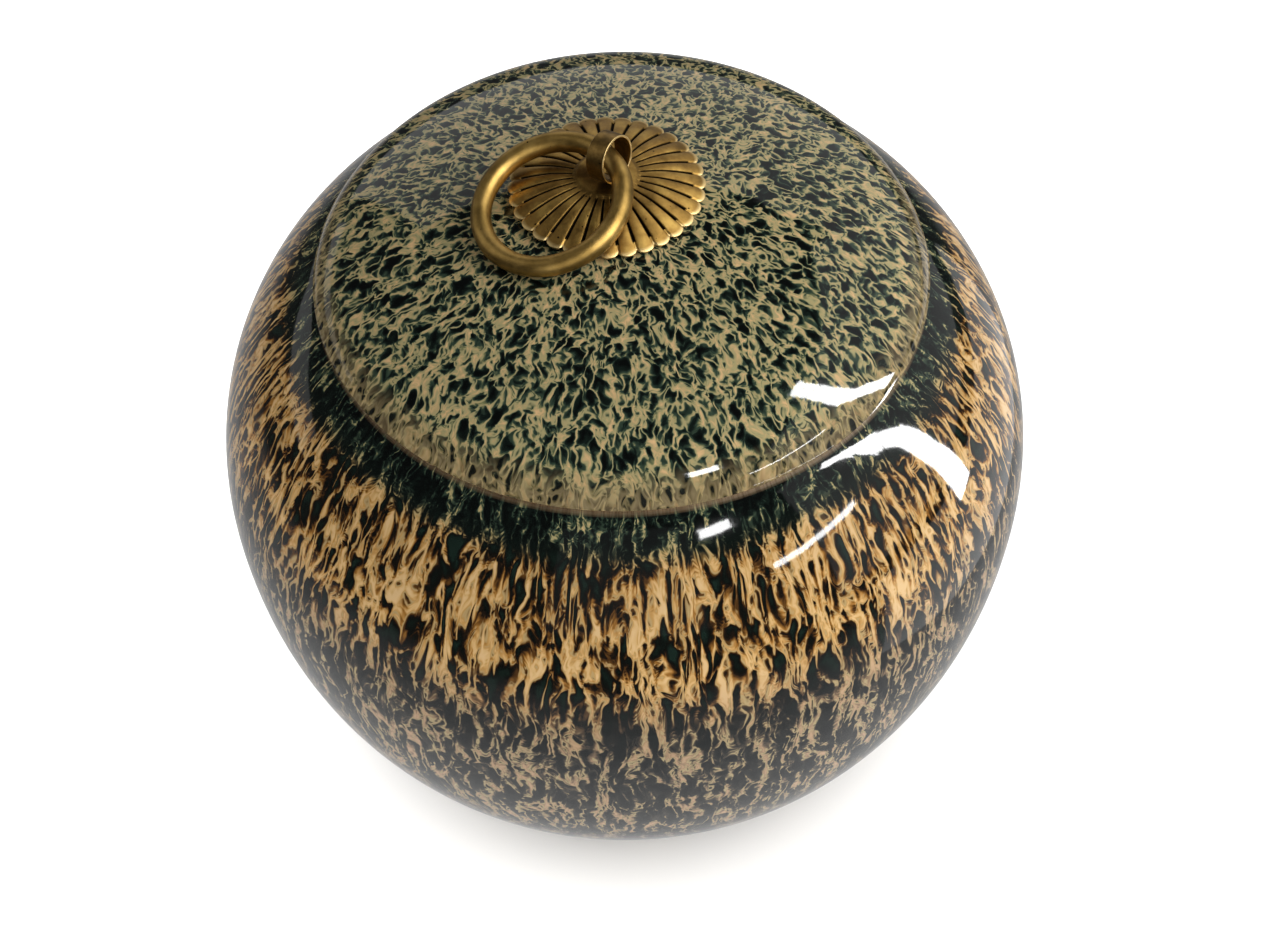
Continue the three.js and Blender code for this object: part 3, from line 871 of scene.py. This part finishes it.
def makeCamera(d):
    pitch, turn, roll = radians(d["viewPitch"]), radians(d["viewTurn"]), radians(d["roll"])
    level = Vector((cos(turn), sin(turn), 0))
    back = Vector((sin(turn) * cos(pitch), -cos(turn) * cos(pitch), sin(pitch)))
    upright = back.cross(level)
    right = level * cos(roll) + upright * sin(roll)
    up = back.cross(right)
    target = Vector((0, 0, urnBody["bellyHeight"]))
    aside = (d["aimX"] - d["imageWidth"] / 2) / d["focalPixels"] * d["distance"]
    above = -(d["aimY"] - d["imageHeight"] / 2) / d["focalPixels"] * d["distance"]
    place = target + back * d["distance"] - right * aside - up * above
    lens = bpy.data.cameras.new("camera")
    lens.sensor_fit = "HORIZONTAL"
    lens.sensor_width = d["sensorWidth"]
    lens.lens = d["focalPixels"] / d["imageWidth"] * d["sensorWidth"]
    camera = bpy.data.objects.new("camera", lens)
    bpy.context.scene.collection.objects.link(camera)
    camera.matrix_world = Matrix((
        (right.x, up.x, back.x, place.x),
        (right.y, up.y, back.y, place.y),
        (right.z, up.z, back.z, place.z),
        (0, 0, 0, 1),
    ))
    bpy.context.scene.camera = camera


def gather(name, *pieces):
    # lamps that are given such a collection light these pieces only
    collection = bpy.data.collections.new(name)
    for piece in pieces:
        collection.objects.link(piece)
    return collection


def addLamp(name, shape, width, height, energy, lit=None):
    # an area lamp that the camera doesn't see
    lamp = bpy.data.lights.new(name, "AREA")
    lamp.shape = shape
    lamp.size = width
    lamp.size_y = height
    lamp.energy = energy
    light = bpy.data.objects.new(name, lamp)
    bpy.context.scene.collection.objects.link(light)
    light.visible_camera = False
    if lit is not None:
        light.light_linking.receiver_collection = lit
    return light


def addCard(name, turn, low, high, distance, width, radiance, lit=None, lean=0):
    # a card that shows only as a reflection; turn is counted from the camera's side to its right, low and
    # high are the heights that it covers as seen from the belly, and lean is how far its top is turned
    # away, all in degrees
    def placeAt(turned, height):
        angle = radians(studio["viewTurn"] + turned)
        return centre + distance * Vector((sin(angle), -cos(angle), tan(radians(height))))

    centre = Vector((0, 0, studio["cardCentre"]))
    bottom = placeAt(turn, low)
    top = placeAt(turn + lean, high)
    height = (top - bottom).length
    light = addLamp(name, "RECTANGLE", width, height, radiance * pi * width * height, lit)
    up = (top - bottom).normalized()
    aside = up.cross((top + bottom) / 2 - centre).normalized()
    turned = Matrix((aside, up, aside.cross(up))).transposed()
    light.matrix_world = Matrix.Translation((top + bottom) / 2) @ turned.to_4x4()
    light.visible_diffuse = False


makeCamera(studio)
floorPaint, tree = newMaterial("palePaintedFloor")
shader = addNode(tree, "BsdfPrincipled",
                 {"Base Color": toLinear("#f4f3f1"), "Roughness": 0.8, "Specular IOR Level": 0.0})
addNode(tree, "OutputMaterial", None, {"Surface": shader.outputs[0]})
deselectAll()
bpy.ops.mesh.primitive_plane_add(size=studio["floorSize"], location=(0, 0, 0))
floor = bpy.context.object
floor.name = "paleFloor"
floor.visible_glossy = False
floor.data.materials.append(floorPaint)

# the room lights the urn evenly and mirrors in it only faintly
world = bpy.data.worlds.new("studioAir")
bpy.context.scene.world = world
world.use_nodes = True
tree = world.node_tree
tree.nodes.clear()
ray = addNode(tree, "LightPath")
room = addNode(tree, "Background", {"Color": toLinear("#ffffff"), "Strength": studio["roomLight"]})
dim = addNode(tree, "Background", {"Color": toLinear("#ffffff"), "Strength": studio["roomMirrored"]})
mixed = addNode(tree, "MixShader", None,
                {0: ray.outputs["Is Glossy Ray"], 1: room.outputs[0], 2: dim.outputs[0]})
addNode(tree, "OutputWorld", None, {"Surface": mixed.outputs[0]})

brassOnly = gather("brassOnly", rosettePiece, eyePiece, ringPiece)
lidOnly = gather("lidOnly", lidPiece)
bodyOnly = gather("bodyOnly", urnBodyPiece)
urnOnly = gather("urnOnly", urnBodyPiece, lidPiece, rosettePiece, eyePiece, ringPiece)
floorOnly = gather("floorOnly", floor)

# the broad soft key light, which lights the urn and doesn't show in the glaze
keyAngle, keyRise = radians(studio["viewTurn"] + studio["keyTurn"]), radians(studio["keyRise"])
keyWay = Vector((sin(keyAngle) * cos(keyRise), -cos(keyAngle) * cos(keyRise), sin(keyRise)))
keySoftbox = addLamp("keySoftbox", "SQUARE", studio["keySize"], studio["keySize"], studio["keyPower"], urnOnly)
keySoftbox.location = keyWay * studio["keyDistance"]
keySoftbox.rotation_euler = keyWay.to_track_quat("Z", "Y").to_euler()
keySoftbox.visible_glossy = False

floorWash = addLamp("floorWash", "SQUARE", studio["floorWashSize"], studio["floorWashSize"],
                    studio["floorPower"], floorOnly)
floorWash.location = (0, 0, studio["floorWashHeight"])
floorWash.visible_glossy = False

# the table top as the glaze mirrors it: pale to arm's length, and dark beyond
for i in range(studio["tableDisks"]):
    share = i / (studio["tableDisks"] - 1)
    reach = studio["tableInner"] + (studio["tableOuter"] - studio["tableInner"]) * share
    diskPower = studio["tableMirrored"] / studio["tableDisks"] * pi * pi * reach ** 2
    disk = addLamp("tableInGlaze", "DISK", 2 * reach, 2 * reach, diskPower)
    disk.location = (0, 0, -1 * mm - 0.2 * mm * i)
    disk.rotation_euler = (pi, 0, 0)
    disk.visible_diffuse = False

# name, turn, low, high, distance, width, radiance, what it lights, lean
for card in (
    ("stripOnLid", 87.6, 2, 32, 0.40, 0.036, 30, lidOnly, -9),
    ("stripOnLidTop", 78.6, 31, 53, 0.40, 0.05, 30, lidOnly, 4),
    ("stripOnBody", 87, -13, 17, 0.40, 0.04, 30, bodyOnly, -5),
    ("stripOnShoulder", 82, 16, 35, 0.40, 0.034, 30, bodyOnly, -18),
    ("smallBoxOnLid", 29, 42.5, 47, 0.9, 0.2, 30, lidOnly),
    ("smallBoxOnBody", 28, 36.5, 39.5, 0.9, 0.17, 30, bodyOnly),
    ("thinStripOnLid", 54, 25.2, 26.4, 0.9, 0.45, 26, lidOnly),
    ("thinStripOnBody", 52, 18.6, 20.4, 0.9, 0.42, 26, bodyOnly),
    ("rightWall", 95, -2, 50, 1.4, 2.6, 0.52),
    ("rightTable", 97, -38, -8, 0.6, 0.9, 0.75),
    ("backWall", 178, -2, 42, 1.4, 2.4, 0.5),
    ("leftCard", -114, 0, 8, 0.9, 0.7, 0.5),
    ("frontGlow", 0, 8, 44, 1.4, 1.0, 0.14),
    ("brassRight", 60, 25, 75, 0.8, 0.9, 5.4, brassOnly),
    ("brassHigh", 120, 36, 72, 0.8, 1.0, 1.7, brassOnly),
    ("brassBack", 180, 30, 58, 0.8, 0.6, 0.4, brassOnly),
    ("brassLeft", -100, 10, 60, 0.8, 0.6, 0.6, brassOnly),
    ("brassFront", 0, 5, 50, 0.8, 0.7, 1.1, brassOnly),
):
    addCard(*card)

bpy.context.scene.view_settings.view_transform = "Standard"
bpy.context.scene.view_settings.look = "None"
print("camera and lights set")
